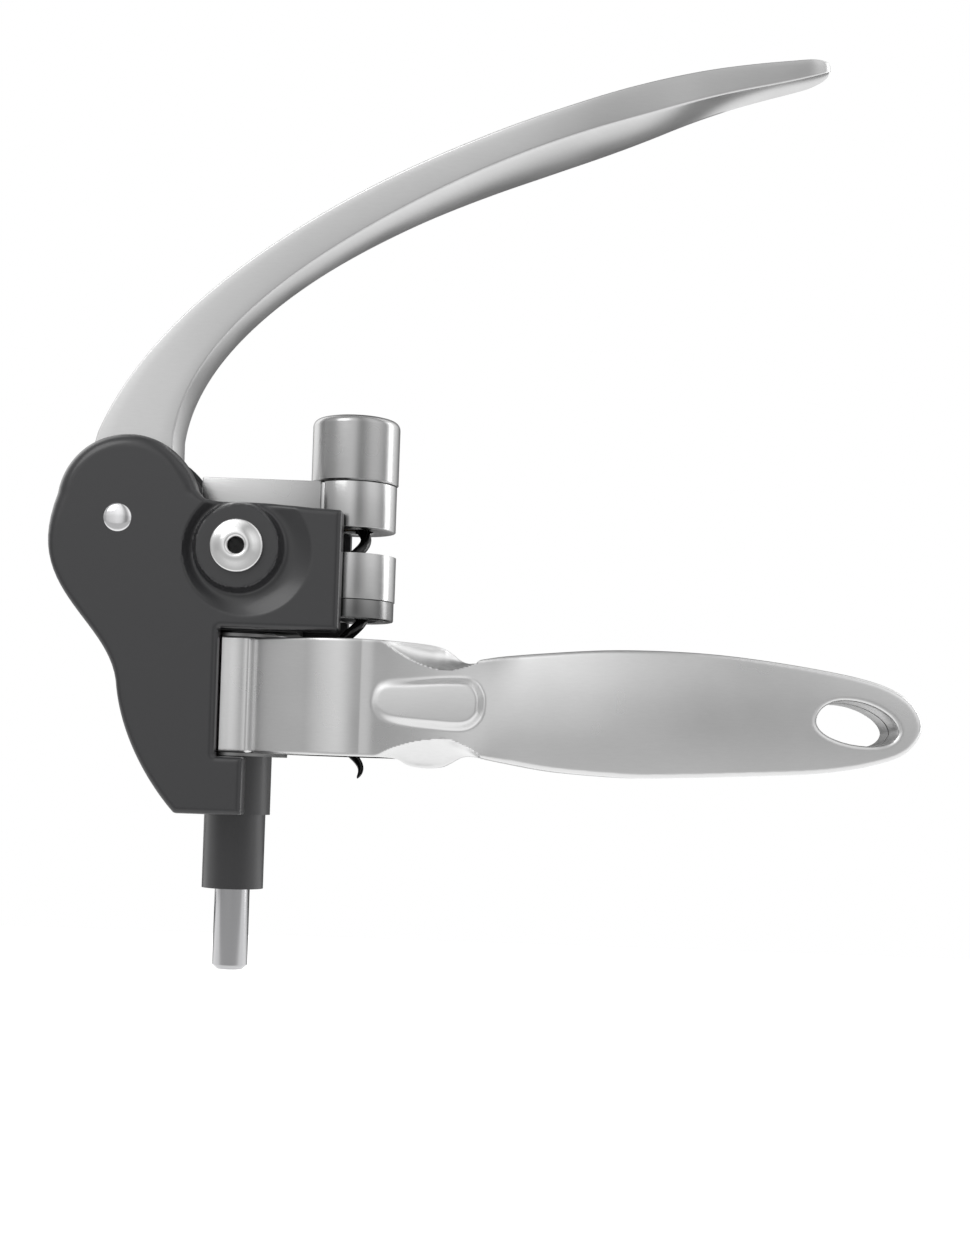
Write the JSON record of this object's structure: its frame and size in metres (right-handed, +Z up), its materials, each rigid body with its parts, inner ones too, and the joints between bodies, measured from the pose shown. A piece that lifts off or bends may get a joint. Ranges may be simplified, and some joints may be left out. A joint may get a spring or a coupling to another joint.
{
  "type": "lever corkscrew",
  "caption": "Horizontal lever corkscrew: two hinged grips clamp a bottle neck while a geared lever drives a worm carriage up and down its guide rod.",
  "frame": {"origin": "on the worm axis, half way up the jaws that clamp the bottle neck", "axes": "+X towards the tips of the grips, +Z up along the worm axis, +Y towards the far side cover"},
  "size_m": [0.197, 0.0428, 0.2132],
  "materials": {
    "silver_casting": "satin die-cast metal with a fine brushed sheen",
    "bright_steel": "polished steel",
    "graphite_paint": "satin dark-grey paint",
    "band_grey": "satin mid-grey",
    "worm_black": "smooth black non-stick coating",
    "black_plastic": "moulded plastic",
    "liner_rubber": "soft black rubber",
    "bronze": "plain bronze bearing metal"
  },
  "bodies": {
    "frame_body": {"frame": "graphite_paint", "side_cover_near": "graphite_paint", "side_cover_far": "graphite_paint", "hollow_bolts": "bright_steel", "cover_screws": "bright_steel", "lever_axle": "bright_steel", "axle_washers": "bright_steel", "upper_guide_bush": "bronze", "lower_guide_bush": "bronze", "hinge_washers": "bright_steel"},
    "lever": {"lever_handle": "silver_casting", "gear_sector": "bright_steel", "hub_pins": "bright_steel", "hub_bush": "bronze"},
    "carriage": {"guide_rod": "bright_steel", "carriage_arm": "silver_casting", "worm_cap": "silver_casting", "rod_screw": "bright_steel", "bearing_bush": "bronze", "thrust_washer": "bright_steel"},
    "worm_body": {"worm": "worm_black", "worm_hub": "bright_steel"},
    "nut": {"nut_carriage": "silver_casting", "nut_insert": "black_plastic", "nut_ring": "band_grey", "lock_ball": "bright_steel", "lock_spring": "bright_steel", "lock_plug": "bright_steel"},
    "near_grip": {"grip_near": "silver_casting", "jaw_liner_near": "liner_rubber"},
    "far_grip": {"grip_far": "silver_casting", "jaw_liner_far": "liner_rubber"}
  },
  "joints": [
    {"name": "lever_swing", "type": "hinge", "parent": "frame_body", "child": "lever", "pos_m": [-0.051, 0, 0.038], "axis": [0, -1, 0], "range_deg": [-7, 90]},
    {"name": "carriage_slide", "type": "slide", "parent": "frame_body", "child": "carriage", "axis": [0, 0, 1], "range_m": [-0.00295, 0.0374]},
    {"name": "worm_spin", "type": "hinge", "parent": "carriage", "child": "worm_body", "pos_m": [0, 0, 0.045], "axis": [0, 0, 1], "range_deg": [-60, 768]},
    {"name": "nut_play", "type": "slide", "parent": "frame_body", "child": "nut", "axis": [0, 0, 1], "range_m": [0, 0.0015]},
    {"name": "near_grip_swing", "type": "hinge", "parent": "frame_body", "child": "near_grip", "pos_m": [-0.025, 0, 0], "axis": [0, 0, -1], "range_deg": [0, 20]},
    {"name": "far_grip_swing", "type": "hinge", "parent": "frame_body", "child": "far_grip", "pos_m": [-0.025, 0, 0], "axis": [0, 0, 1], "range_deg": [0, 20]}
  ],
  "couplings": [
    {"joint": "carriage_slide", "follows": "lever_swing", "m_per_rad": 0.02375},
    {"joint": "worm_spin", "follows": "lever_swing", "ratio": 8.5272}
  ]
}
